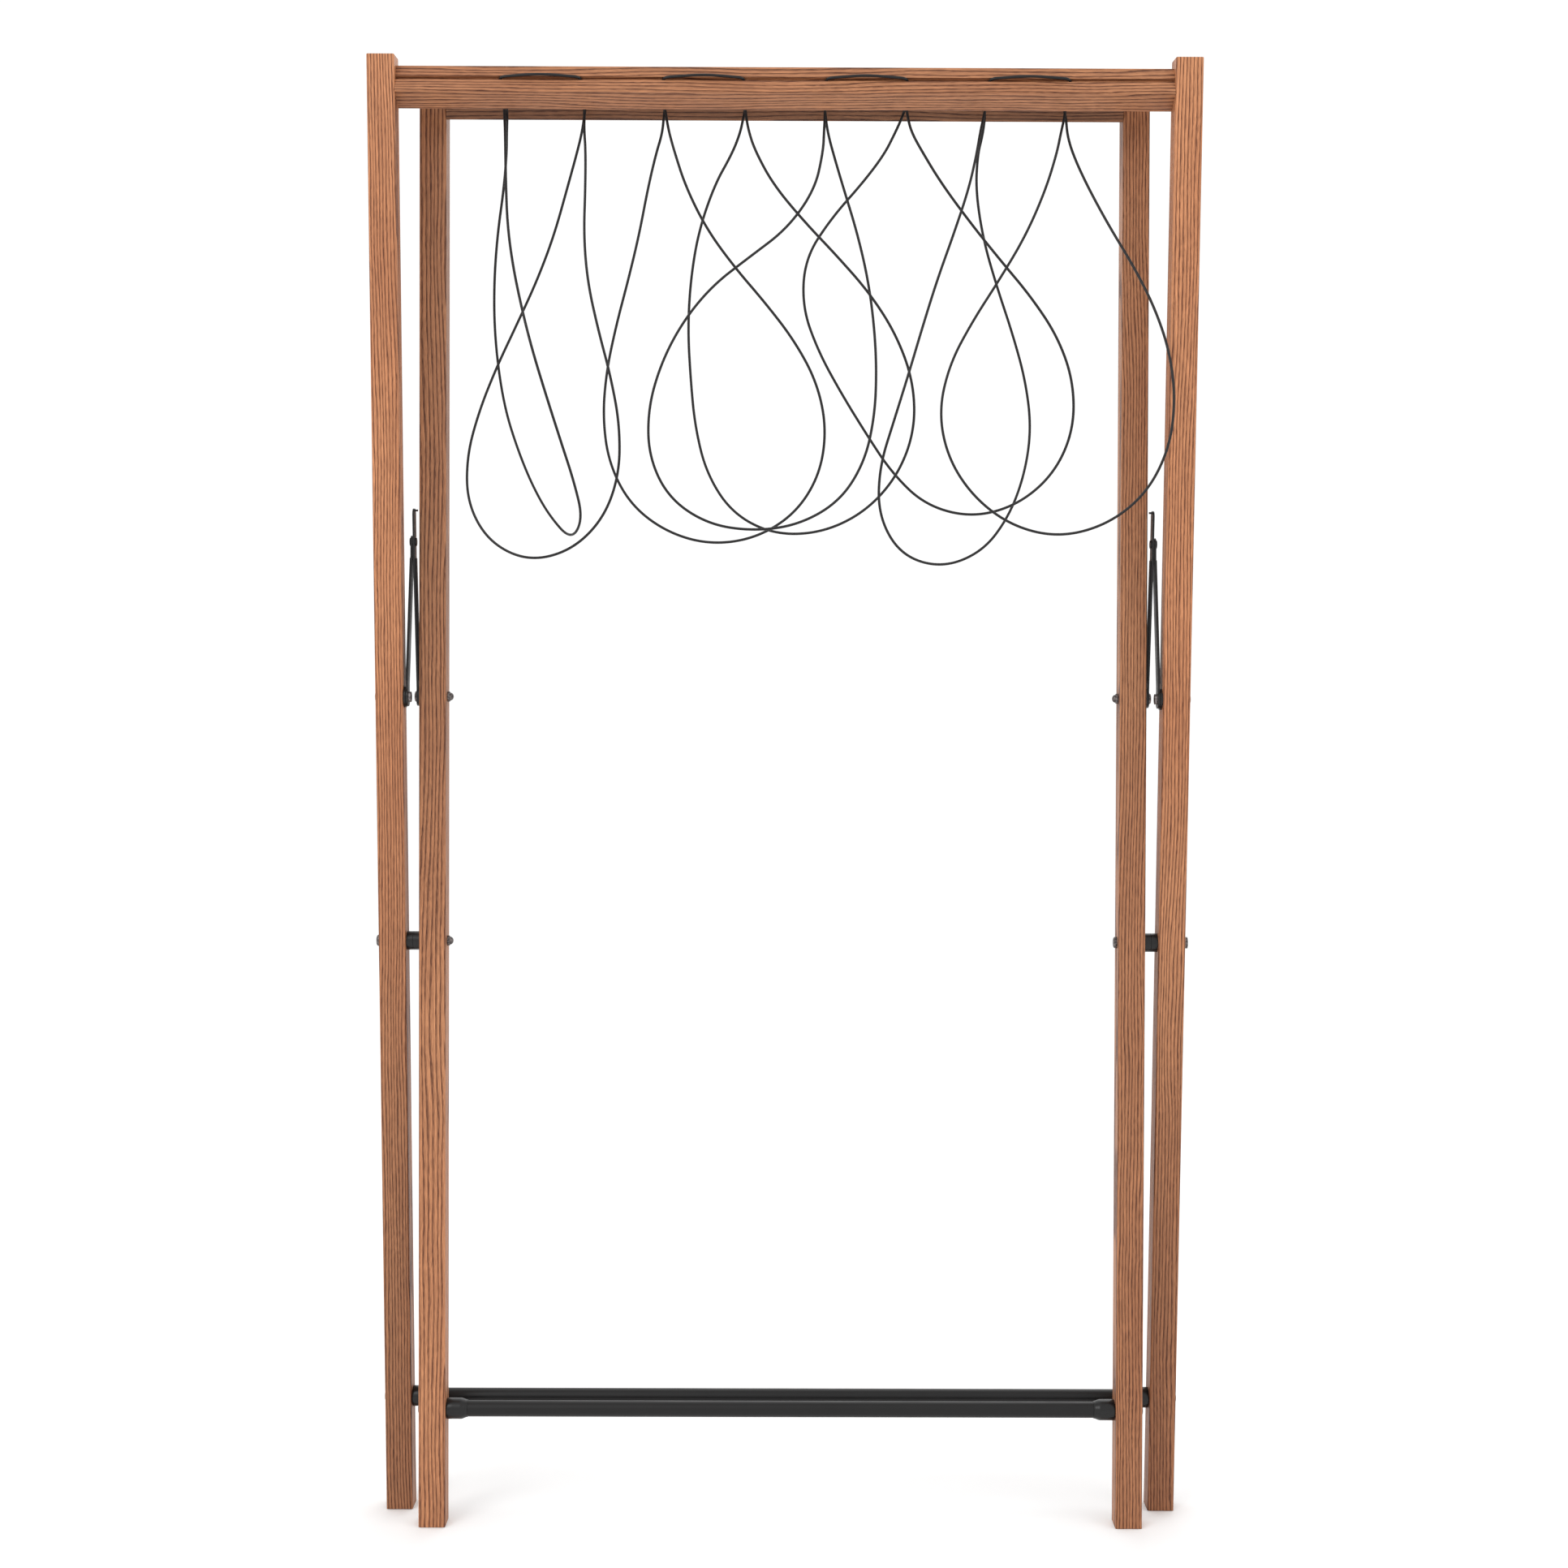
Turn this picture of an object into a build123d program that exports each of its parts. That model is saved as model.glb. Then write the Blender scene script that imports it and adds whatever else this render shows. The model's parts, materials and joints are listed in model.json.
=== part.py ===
"""A folding clothes drying rack, standing nearly closed.

Two wooden frames cross on one pair of pivots. The outer frame leans forward at the top and carries
the front rail; the inner frame leans back and carries the rear rail. One cord is laced between the
two rails as eight drying lines, which hang as loops while the rack is closed. A pair of folding
stays above the pivots sets how far the rack opens. Millimetres, +Z up, front towards -Y, origin on
the floor below the pivots.
"""
import math
import os

from build123d import *

os.makedirs("parts", exist_ok=True)

# Wooden frames
OUTER_WIDTH = 904  # across the outer faces of the outer legs
LEG = 30  # width and depth of a leg
LEG_GAP = 15  # between an outer leg and the inner leg beside it
PIVOT_HEIGHT = 658  # of the main pivots above the floor
LEG_ABOVE_PIVOT = 970
REST_LEAN = 2.4  # lean of each frame from upright, as it stands closed
OPEN_LEAN = 39  # lean of each frame when the stays are straight
WOOD_EDGE = 2  # rounding of the long edges

# Top rails, square bars turned so that their grooved face looks up and out
RAIL = 33
RAIL_ALONG_LEG = 938.5  # from the main pivot to the rail's centre
RAIL_INSET = 6  # of the rail's centre, towards the other frame
RAIL_TILT = 26.4  # of the grooved face from the leg
GROOVE_WIDTH = 4.6
GROOVE_DEPTH = 4
LINES = 8
LINE_PITCH = 88.4
CORD = 3
CORD_HOLE = 4
KNOT = 9

# Crossbar tubes near the feet
TUBE = 18
TUBE_WALL = 1.2
TUBE_BELOW_PIVOT = 529
SOCKET = 23.3  # outer diameter of the cup that holds a tube's end
SOCKET_LENGTH = 24
SOCKET_BASE = 4
SOCKET_TAPER = 2
SOCKET_CLEARANCE = 0.1  # radial, round the tube

# Fasteners
BOLT = 6  # shank diameter of every bolt and screw
BORE_CLEARANCE = 0.25  # radial, where a shank is fixed
NUT_CLEARANCE = 0.05  # radial, inside a nut or a riveted hole
RUNNING_CLEARANCE = 0.07  # radial, where something turns on a shank
FACE_CLEARANCE = 0.3  # between flat faces that turn past each other
SCREW_HEAD = 11
SCREW_HEAD_HEIGHT = 2
RAIL_SCREW_GRIP = 40  # how far a rail screw reaches into the rail
TUBE_SCREW_GRIP = 14  # how far a tube screw reaches past the leg
CAP = 13  # diameter of a pivot bolt's head and of its plain nut
CAP_HEIGHT = 4
DOME_NUT = 11.5
DOME_NUT_HEIGHT = 7
DOME_NUT_WALL = 1.5  # closed end of the nut
SPACER = 21  # diameter of the main pivot's spacers

# Folding stays: strips that start beside their own legs and lean together up to the elbow
STAY_ABOVE_PIVOT = 274.6  # from the main pivot to a stay's pin, along the leg
STAY_WIDTH = 14
STAY_WEB = 2.2
STAY_EYE = 21  # diameter of a link's end round its pin
STAY_FLAT = 16  # from a pin or the elbow to the bend where the strip starts to lean
STAY_RIB = 1.2
STAY_RIB_WIDTH = 6
STAY_RIB_END = 18  # from a pin to the rib's end
STAY_TAB = 30  # of the inner link, past the elbow
STAY_LIP = 2.8  # of the tab's bent end, towards the inner leg
STAY_PAD = 23.6  # diameter of the pad between a link and its leg
INNER_PAD = 1.4
OUTER_PAD = 2.6
ELBOW_FROM_INNER_LEG = 5.6  # to the middle of the gap between the links
LAYER_GAP = 0.4  # between the two links
PAD_GAP = 0.2  # between a link and its pad or nut
STAY_HEAD = 11.8
STAY_HEAD_HEIGHT = 2.6
RIVET = 5
RIVET_HEAD = 9
RIVET_HEAD_HEIGHT = 1.4

# Positions that follow from the sizes above
LEFT, RIGHT = -1, 1
SIDES = {LEFT: "left", RIGHT: "right"}
OUTER, INNER = 1, -1  # a frame, and the way along Y from its rail towards the other rail
OUTER_FACE = OUTER_WIDTH / 2
OUTER_INSIDE = OUTER_FACE - LEG
INNER_FACE = OUTER_INSIDE - LEG_GAP
INNER_INSIDE = INNER_FACE - LEG
FACE = {OUTER: OUTER_FACE, INNER: INNER_FACE}
INSIDE = {OUTER: OUTER_INSIDE, INNER: INNER_INSIDE}
# Where each link's strip starts, outwards from the middle, beside its pin and at the elbow
PIN_WEB = {
    INNER: INNER_FACE + INNER_PAD + PAD_GAP,
    OUTER: OUTER_INSIDE - OUTER_PAD - PAD_GAP - STAY_WEB,
}
ELBOW_WEB = {
    INNER: INNER_FACE + ELBOW_FROM_INNER_LEG - LAYER_GAP / 2 - STAY_WEB,
    OUTER: INNER_FACE + ELBOW_FROM_INNER_LEG + LAYER_GAP / 2,
}
STAY_LINK = STAY_ABOVE_PIVOT * math.sin(math.radians(OPEN_LEAN))
SIN_LEAN = math.sin(math.radians(REST_LEAN))
COS_LEAN = math.cos(math.radians(REST_LEAN))
PIVOT_POINT = Vector(0, 0, PIVOT_HEIGHT)
FRAMES = {way: Plane(PIVOT_POINT, (1, 0, 0), (0, -way * SIN_LEAN, COS_LEAN)) for way in (OUTER, INNER)}


def write(part, name):
    part.label = name
    export_step(part, f"parts/{name}.step")


def across(frame, x, y, z, side=RIGHT):
    """The plane at a frame's own point (x, y, z) that faces away from the middle on that side."""
    return Plane(frame.from_local_coords(Vector(side * x, y, z)), frame.y_dir, (side, 0, 0))


def rail_face(way):
    """The plane through a rail's centre, parallel to its grooved face and facing out of it."""
    frame = FRAMES[way]
    tilt = math.radians(RAIL_TILT)
    outwards = frame.y_dir * (-way * math.cos(tilt)) + frame.z_dir * math.sin(tilt)
    centre = frame.from_local_coords(Vector(0, way * RAIL_INSET, RAIL_ALONG_LEG))
    return Plane(centre, (way, 0, 0), outwards)


def shank(plane, start, end, diameter):
    """A round bar along a plane's normal, added to the part being built."""
    with Locations(plane.offset((start + end) / 2)):
        Cylinder(diameter / 2, abs(end - start))


# Legs: square posts cut flat on the floor, bored for the pivots, the stays and the crosspieces
def make_leg(way, side, name):
    frame = FRAMES[way]
    pivot_clearance = RUNNING_CLEARANCE if way == OUTER else BORE_CLEARANCE
    bores = [
        (0, 0, pivot_clearance),
        (0, STAY_ABOVE_PIVOT, BORE_CLEARANCE),
        (way * RAIL_INSET, RAIL_ALONG_LEG, BORE_CLEARANCE),
        (0, -TUBE_BELOW_PIVOT, BORE_CLEARANCE),
    ]
    with BuildPart() as leg:
        with BuildSketch(frame.offset(LEG_ABOVE_PIVOT)):
            with Locations((side * (FACE[way] - LEG / 2), 0)):
                RectangleRounded(LEG, LEG, WOOD_EDGE)
        extrude(amount=-(LEG_ABOVE_PIVOT + PIVOT_HEIGHT + LEG))
        split(bisect_by=Plane.XY, keep=Keep.TOP)
        fillet(leg.faces().sort_by(Axis.Z)[-1].edges(), WOOD_EDGE / 2)
        for y, z, clearance in bores:
            with BuildSketch(across(frame, INSIDE[way], y, z, side)):
                Circle(BOLT / 2 + clearance)
            extrude(amount=LEG, mode=Mode.SUBTRACT)
    write(leg.part, name)


# Rails: grooved along the outer face, drilled through for the cord and bored at the ends for screws
def make_rail(way, name):
    face = rail_face(way)
    length = 2 * INSIDE[way]
    with BuildPart() as rail:
        with BuildSketch(face.offset(-RAIL / 2)):
            Rectangle(length, RAIL)
        extrude(amount=RAIL)
        fillet(rail.edges().filter_by(Axis.X), WOOD_EDGE)
        with BuildSketch(face.offset(RAIL / 2)):
            Rectangle(length, GROOVE_WIDTH)
        extrude(amount=-GROOVE_DEPTH, mode=Mode.SUBTRACT)
        with BuildSketch(face.offset(RAIL / 2)):
            with GridLocations(LINE_PITCH, 0, LINES, 1):
                Circle(CORD_HOLE / 2)
        extrude(amount=-RAIL, mode=Mode.SUBTRACT)
        for side in SIDES:
            end = across(FRAMES[way], INSIDE[way], way * RAIL_INSET, RAIL_ALONG_LEG, side)
            with BuildSketch(end):
                Circle(BOLT / 2 + BORE_CLEARANCE)
            extrude(amount=-RAIL_SCREW_GRIP, mode=Mode.SUBTRACT)
    write(rail.part, name)


# Tubes and the cups that hold their ends against the legs
def make_tube(way, name):
    end = across(FRAMES[way], INSIDE[way] - SOCKET_BASE, 0, -TUBE_BELOW_PIVOT, LEFT)
    length = 2 * (INSIDE[way] - SOCKET_BASE)
    with BuildPart() as tube:
        with BuildSketch(end):
            Circle(TUBE / 2)
            Circle(TUBE / 2 - TUBE_WALL, mode=Mode.SUBTRACT)
        extrude(amount=-length)
    write(tube.part, name)


def make_socket(way, side, name):
    seat = across(FRAMES[way], INSIDE[way], 0, -TUBE_BELOW_PIVOT, side)
    with BuildPart() as socket:
        with BuildSketch(seat):
            Circle(SOCKET / 2)
        extrude(amount=-SOCKET_LENGTH)
        mouth = socket.faces().sort_by(Axis.X)[0 if side == RIGHT else -1]
        chamfer(mouth.edges(), SOCKET_TAPER)
        with BuildSketch(seat.offset(-SOCKET_LENGTH)):
            Circle(TUBE / 2 + SOCKET_CLEARANCE)
        extrude(amount=SOCKET_LENGTH - SOCKET_BASE, mode=Mode.SUBTRACT)
        with BuildSketch(seat):
            Circle(BOLT / 2 + BORE_CLEARANCE)
        extrude(amount=-SOCKET_BASE, mode=Mode.SUBTRACT)
    write(socket.part, name)


# Screws through the legs: a low head on the outer face and a shank into the rail or the cup
def make_screws(way, y, z, grip, name):
    with BuildPart() as screws:
        for side in SIDES:
            outside = across(FRAMES[way], FACE[way], y, z, side)
            shank(outside, 0, SCREW_HEAD_HEIGHT, SCREW_HEAD)
            shank(outside, 0, -(LEG + grip), BOLT)
        rims = screws.edges().filter_by(GeomType.CIRCLE).group_by(SortBy.RADIUS)[-1]
        crowns = [rim for rim in rims if abs(rim.center().X) > FACE[way] + SCREW_HEAD_HEIGHT / 2]
        fillet(crowns, SCREW_HEAD_HEIGHT * 0.6)
    write(screws.part, name)


# Main pivots: a bolt fixed in the inner leg, on which the outer leg turns, and two spacers between
# the legs. The left bolt goes in from outside, the right one from inside.
def make_pivot_bolt(side, name):
    centre = across(FRAMES[INNER], 0, 0, 0, side)
    outside = OUTER_FACE + FACE_CLEARANCE
    with BuildPart() as bolt:
        if side == LEFT:
            shank(centre, outside, outside + CAP_HEIGHT, CAP)
            shank(centre, INNER_INSIDE - DOME_NUT_HEIGHT + DOME_NUT_WALL, outside, BOLT)
        else:
            shank(centre, INNER_INSIDE - CAP_HEIGHT, INNER_INSIDE, CAP)
            shank(centre, INNER_INSIDE, outside + CAP_HEIGHT, BOLT)
        cap_rims = bolt.edges().filter_by(GeomType.CIRCLE).group_by(SortBy.RADIUS)[-1].sort_by(Axis.X)
        fillet(cap_rims[0], CAP_HEIGHT * 0.6)
    write(bolt.part, name)


def make_dome_nut(plane, name):
    """A closed nut on a face, over the end of a bolt; the plane faces out of the wood."""
    with BuildPart() as nut:
        shank(plane, 0, DOME_NUT_HEIGHT, DOME_NUT)
        crown = nut.faces().filter_by(GeomType.PLANE).sort_by(Axis(plane.origin, plane.z_dir))[-1]
        fillet(crown.edges(), DOME_NUT_HEIGHT * 0.6)
        with BuildSketch(plane):
            Circle(BOLT / 2 + NUT_CLEARANCE)
        extrude(amount=DOME_NUT_HEIGHT - DOME_NUT_WALL, mode=Mode.SUBTRACT)
    write(nut.part, name)


def inside_face(side, z):
    """The plane on an inner leg's inner face that faces the middle of the rack."""
    return across(FRAMES[INNER], -INNER_INSIDE, 0, z, -side)


def make_ring(plane, start, end, diameter, bore, name):
    """A washer, spacer, pad or plain nut along a plane's normal."""
    with BuildPart() as ring:
        with BuildSketch(plane.offset(start)):
            Circle(diameter / 2)
            Circle(bore / 2, mode=Mode.SUBTRACT)
        extrude(amount=end - start)
    write(ring.part, name)


# Folding stays: each leg carries a pad and a bolt, on which a link of bent strip turns. The two
# links of a side meet at the elbow, where each one carries its half of the rivet.
def link_plane(way, side):
    """The plane through a link's pin, amid the rack, facing that side, with x towards the elbow."""
    pin = FRAMES[way].from_local_coords(Vector(0, 0, STAY_ABOVE_PIVOT))
    rise = math.sqrt(STAY_LINK**2 - pin.Y**2)
    return Plane(pin, (0, -pin.Y, rise), (side, 0, 0))


def strip(plane, way, start, end, low, high, width):
    """A strip along a link from start to end, between two heights above the web's inner face."""
    bends = [start, STAY_FLAT, STAY_LINK - STAY_FLAT, end]
    webs = [PIN_WEB[way], PIN_WEB[way], ELBOW_WEB[way], ELBOW_WEB[way]]
    if start > STAY_FLAT:  # a rib, which lies on the leaning stretch alone
        bends = [start, end]
        lean_per_mm = (ELBOW_WEB[way] - PIN_WEB[way]) / (STAY_LINK - 2 * STAY_FLAT)
        webs = [PIN_WEB[way] + lean_per_mm * (bend - STAY_FLAT) for bend in bends]
    lower = [(bend, web + low) for bend, web in zip(bends, webs)]
    upper = [(bend, web + high) for bend, web in zip(bends, webs)]
    with BuildPart() as bar:
        with BuildSketch(Plane(plane.origin, plane.x_dir, -plane.y_dir)):
            with BuildLine():
                Polyline(*lower, *reversed(upper), close=True)
            make_face()
        extrude(amount=width / 2, both=True)
    return bar.part


def make_link(way, side, name):
    plane = link_plane(way, side)
    tab = STAY_TAB if way == INNER else 0
    back = (STAY_WEB, STAY_WEB + STAY_RIB) if way == OUTER else (-STAY_RIB, 0)
    tip = STAY_LINK + tab + STAY_WIDTH / 2
    web = strip(plane, way, -STAY_EYE, tip, 0, STAY_WEB, STAY_EYE)
    rib = strip(plane, way, STAY_RIB_END, STAY_LINK - STAY_RIB_END, *back, STAY_RIB_WIDTH)
    with BuildPart() as link:
        with BuildSketch(plane.offset(INNER_FACE)):
            Circle(STAY_EYE / 2)
            with Locations(((STAY_LINK + tab) / 2, 0)):
                SlotCenterToCenter(STAY_LINK + tab, STAY_WIDTH)
        extrude(amount=LEG_GAP)
        add(web, mode=Mode.INTERSECT)
        add(rib)
        if tab:
            with BuildSketch(plane.offset(ELBOW_WEB[way] - STAY_LIP)):
                with Locations((tip - STAY_WEB, 0)):
                    Rectangle(STAY_WEB, STAY_WIDTH / 2)
            extrude(amount=STAY_LIP)
        with BuildSketch(plane.offset(INNER_FACE)):
            Circle(BOLT / 2 + RUNNING_CLEARANCE)
            with Locations((STAY_LINK, 0)):
                Circle(RIVET / 2 + NUT_CLEARANCE)
        extrude(amount=LEG_GAP, mode=Mode.SUBTRACT)
    write(link.part, name)


def make_rivet_half(way, side, name):
    plane = link_plane(way, side)
    elbow = Plane(plane.from_local_coords(Vector(STAY_LINK, 0, 0)), plane.x_dir, plane.z_dir)
    web = ELBOW_WEB[way]
    seat = web + STAY_WEB if way == OUTER else web
    with BuildPart() as rivet:
        shank(elbow, web, web + STAY_WEB, RIVET)
        shank(elbow, seat, seat + way * RIVET_HEAD_HEIGHT, RIVET_HEAD)
    write(rivet.part, name)


def make_stay_bolt(way, side, name):
    """The inner leg's bolt has its head over the link; the outer leg's has it on the outer face."""
    pin = across(FRAMES[way], 0, 0, STAY_ABOVE_PIVOT, side)
    with BuildPart() as bolt:
        if way == INNER:
            head = PIN_WEB[INNER] + STAY_WEB + PAD_GAP
            shank(pin, head, head + STAY_HEAD_HEIGHT, STAY_HEAD)
            shank(pin, INNER_INSIDE - DOME_NUT_HEIGHT + DOME_NUT_WALL, head, BOLT)
        else:
            shank(pin, OUTER_FACE, OUTER_FACE + SCREW_HEAD_HEIGHT, SCREW_HEAD)
            shank(pin, PIN_WEB[OUTER] - PAD_GAP - STAY_HEAD_HEIGHT, OUTER_FACE, BOLT)
        rims = bolt.edges().filter_by(GeomType.CIRCLE).group_by(SortBy.RADIUS)[-1].sort_by(Axis.X)
        fillet(rims[0 if side == LEFT else -1], SCREW_HEAD_HEIGHT * 0.6)
    write(bolt.part, name)


# The cord: straight runs joined by tangent arcs, from the routes below
def corner_radii(points):
    """For each corner, 0.45 of its shorter run over the tangent of half its turn."""
    radii = []
    for before, here, after in zip(points, points[1:], points[2:]):
        turn = math.radians((here - before).get_angle(after - here))
        shorter = min((here - before).length, (after - here).length)
        radii.append(0.45 * shorter / math.tan(turn / 2))
    return radii


def cord_along(points, name):
    points = [Vector(*point) for point in points]
    radii = corner_radii(points)
    print(name, "radii", " ".join(f"{radius:.0f}" for radius in radii))
    with BuildPart() as cord:
        with BuildLine():
            route = FilletPolyline(*points, radius=radii)
        with BuildSketch(Plane(points[0], z_dir=points[1] - points[0])):
            Circle(CORD / 2)
        sweep(path=route)
    section_times_length = math.pi * CORD**2 / 4 * route.length
    print(name, f"length {route.length:.0f}, volume ratio {cord.part.volume / section_times_length:.4f}")
    return cord.part


def hole_x(line):
    return (line - (LINES + 1) / 2) * LINE_PITCH


def rail_point(way, x, out, up):
    """A point by a rail: x from the middle, out of its grooved face, up along that face."""
    return rail_face(way).from_local_coords(Vector(way * x, up, out))


# Each line's route, from the front rail's back to the rear rail's front, between the two holes
LINE_ROUTES = {
    1: [(-309, -8, 1585), (-309, -5, 1573), (-308, -8, 1556), (-307, -14, 1533), (-305, -28, 1494),
        (-301, -49, 1446), (-293, -72, 1400), (-282, -93, 1354), (-269, -108, 1306), (-254, -109, 1257),
        (-240, -93, 1210), (-228, -65, 1168), (-221, -31, 1129), (-237, 3, 1107), (-265, 34, 1137),
        (-287, 64, 1173), (-306, 89, 1215), (-322, 106, 1261), (-331, 110, 1312), (-334, 100, 1362),
        (-331, 79, 1410), (-324, 54, 1455), (-316, 30, 1500), (-313, 15, 1535), (-314, 8, 1556),
        (-311, 5, 1573), (-309, 8, 1585)],
    2: [(-221, -8, 1585), (-221, -5, 1573), (-221, -8, 1556), (-219, -13, 1533), (-219, -18, 1491),
        (-220, -28, 1438), (-215, -38, 1386), (-203, -47, 1334), (-189, -53, 1283), (-179, -53, 1230),
        (-180, -46, 1176), (-199, -33, 1128), (-237, -17, 1094), (-286, 1, 1084), (-331, 18, 1106),
        (-357, 34, 1150), (-359, 46, 1203), (-346, 52, 1254), (-326, 53, 1304), (-302, 48, 1352),
        (-278, 39, 1400), (-258, 29, 1448), (-242, 19, 1499), (-231, 13, 1535), (-225, 8, 1556),
        (-222, 5, 1573), (-221, 8, 1585)],
    3: [(-133, -8, 1585), (-131, -5, 1573), (-128, -8, 1556), (-122, -12, 1534), (-109, -14, 1494),
        (-86, -16, 1448), (-55, -18, 1406), (-21, -20, 1367), (11, -21, 1326), (36, -20, 1281),
        (47, -18, 1231), (40, -14, 1180), (13, -9, 1137), (-31, -3, 1110), (-82, 3, 1103),
        (-131, 9, 1117), (-172, 14, 1148), (-196, 18, 1194), (-203, 20, 1245), (-199, 21, 1296),
        (-188, 20, 1347), (-174, 17, 1398), (-162, 16, 1447), (-152, 14, 1498), (-143, 12, 1535),
        (-136, 8, 1556), (-134, 5, 1573), (-133, 8, 1585)],
    4: [(-44, -8, 1585), (-43, -5, 1573), (-40, -8, 1556), (-33, -13, 1534), (-13, -15, 1497),
        (21, -20, 1456), (58, -25, 1417), (94, -29, 1376), (123, -31, 1331), (142, -31, 1280),
        (144, -27, 1227), (125, -20, 1177), (89, -11, 1138), (41, -1, 1116), (-12, 9, 1115),
        (-58, 17, 1139), (-87, 24, 1184), (-100, 28, 1237), (-105, 29, 1290), (-108, 27, 1344),
        (-105, 24, 1398), (-96, 19, 1451), (-78, 15, 1502), (-59, 13, 1535), (-50, 8, 1556),
        (-46, 5, 1573), (-44, 8, 1585)],
    5: [(44, -8, 1585), (44, -5, 1573), (43, -8, 1556), (42, -12, 1533), (33, -11, 1492),
        (3, -9, 1450), (-39, -6, 1419), (-80, -4, 1388), (-113, -3, 1348), (-137, -3, 1302),
        (-151, -4, 1252), (-150, -7, 1200), (-128, -11, 1154), (-85, -16, 1125), (-34, -20, 1117),
        (17, -23, 1124), (62, -25, 1150), (89, -25, 1193), (100, -22, 1244), (102, -17, 1296),
        (99, -11, 1347), (92, -4, 1398), (80, 2, 1449), (65, 8, 1498), (54, 11, 1535),
        (48, 8, 1556), (45, 5, 1573), (44, 8, 1585)],
    6: [(133, -8, 1585), (135, -5, 1573), (139, -8, 1556), (150, -12, 1535), (172, -14, 1499),
        (204, -16, 1456), (237, -19, 1415), (271, -21, 1375), (301, -22, 1331), (319, -21, 1282),
        (320, -18, 1229), (299, -13, 1181), (259, -7, 1147), (209, -1, 1134), (158, 6, 1148),
        (121, 12, 1184), (92, 17, 1228), (64, 19, 1273), (38, 21, 1320), (20, 20, 1369),
        (23, 18, 1422), (52, 16, 1466), (87, 14, 1505), (110, 12, 1535), (121, 8, 1556),
        (129, 5, 1573), (133, 8, 1585)],
    7: [(221, -8, 1585), (219, -5, 1573), (215, -8, 1556), (211, -13, 1532), (202, -19, 1492),
        (185, -30, 1441), (167, -43, 1391), (151, -54, 1340), (136, -60, 1289), (120, -60, 1237),
        (104, -52, 1185), (104, -37, 1133), (130, -18, 1091), (177, 3, 1078), (224, 23, 1097),
        (255, 41, 1137), (274, 54, 1186), (282, 62, 1239), (275, 63, 1293), (259, 56, 1345),
        (240, 45, 1395), (223, 32, 1445), (213, 20, 1497), (214, 13, 1535), (219, 8, 1556),
        (221, 5, 1573), (221, 8, 1585)],
    8: [(309, -8, 1585), (308, -5, 1573), (304, -8, 1556), (299, -12, 1532), (287, -10, 1492),
        (266, -6, 1443), (238, -1, 1396), (209, 2, 1351), (184, 3, 1304), (172, -1, 1251),
        (182, -9, 1199), (210, -20, 1155), (251, -33, 1123), (301, -47, 1110), (352, -59, 1123),
        (393, -68, 1156), (417, -70, 1204), (424, -66, 1257), (419, -56, 1310), (404, -43, 1360),
        (383, -27, 1407), (358, -11, 1453), (335, 3, 1500), (320, 10, 1535), (313, 8, 1556),
        (311, 5, 1573), (309, 8, 1585)],
}


def make_line(line):
    """A line runs between the two rails' holes and stops just clear of each rail."""
    x = hole_x(line)
    mouth = -RAIL / 2 - FACE_CLEARANCE
    start = rail_point(OUTER, x, mouth, 0)
    end = rail_point(INNER, x, mouth, 0)
    write(cord_along([start, *LINE_ROUTES[line], end], f"line_{line}"), f"line_{line}")


# Turns: the cord goes through one hole, bows out of the groove and goes back through the next one.
# Half of the route: distances from the hole along the rail, out of its face and up along the face.
TURN_HALF = [(0, 3.5, 0), (15, 5, 2.5)]
TURN_CREST = (LINE_PITCH / 2, 6, 6)


def make_turn(way, line, name):
    second_half = [(LINE_PITCH - x, out, up) for x, out, up in reversed(TURN_HALF)]
    points = [rail_point(way, hole_x(line), -RAIL / 2, 0)]
    for x, out, up in [*TURN_HALF, TURN_CREST, *second_half]:
        points.append(rail_point(way, hole_x(line) + x, RAIL / 2 + out, up))
    points.append(rail_point(way, hole_x(line + 1), -RAIL / 2, 0))
    write(cord_along(points, name), name)


def make_line_ends(name):
    """The cord's two ends: through the rear rail's end holes to knots that bear on the groove."""
    sink = math.sqrt((KNOT / 2 + FACE_CLEARANCE) ** 2 - (GROOVE_WIDTH / 2) ** 2)
    knot_centre = RAIL / 2 + sink
    with BuildPart() as ends:
        for line in (1, LINES):
            hole = rail_face(INNER)
            hole.origin = rail_point(INNER, hole_x(line), 0, 0)
            shank(hole, -RAIL / 2, knot_centre + KNOT, CORD)
            with Locations(hole.offset(knot_centre)):
                Sphere(KNOT / 2)
    write(ends.part, name)


FRAME_NAMES = {OUTER: ("outer", "front_rail", "rear_tube"), INNER: ("inner", "rear_rail", "front_tube")}
for way, (frame_name, rail_name, tube_name) in FRAME_NAMES.items():
    make_rail(way, rail_name)
    make_tube(way, tube_name)
    make_screws(way, way * RAIL_INSET, RAIL_ALONG_LEG, RAIL_SCREW_GRIP, f"{rail_name}_screws")
    make_screws(way, 0, -TUBE_BELOW_PIVOT, TUBE_SCREW_GRIP, f"{tube_name}_screws")
    for side, side_name in SIDES.items():
        make_leg(way, side, f"{frame_name}_leg_{side_name}")
        make_socket(way, side, f"{tube_name}_socket_{side_name}")
        make_stay_bolt(way, side, f"{frame_name}_stay_bolt_{side_name}")
        make_link(way, side, f"{frame_name}_stay_link_{side_name}")
        make_rivet_half(way, side, f"{frame_name}_stay_rivet_{side_name}")

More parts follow.
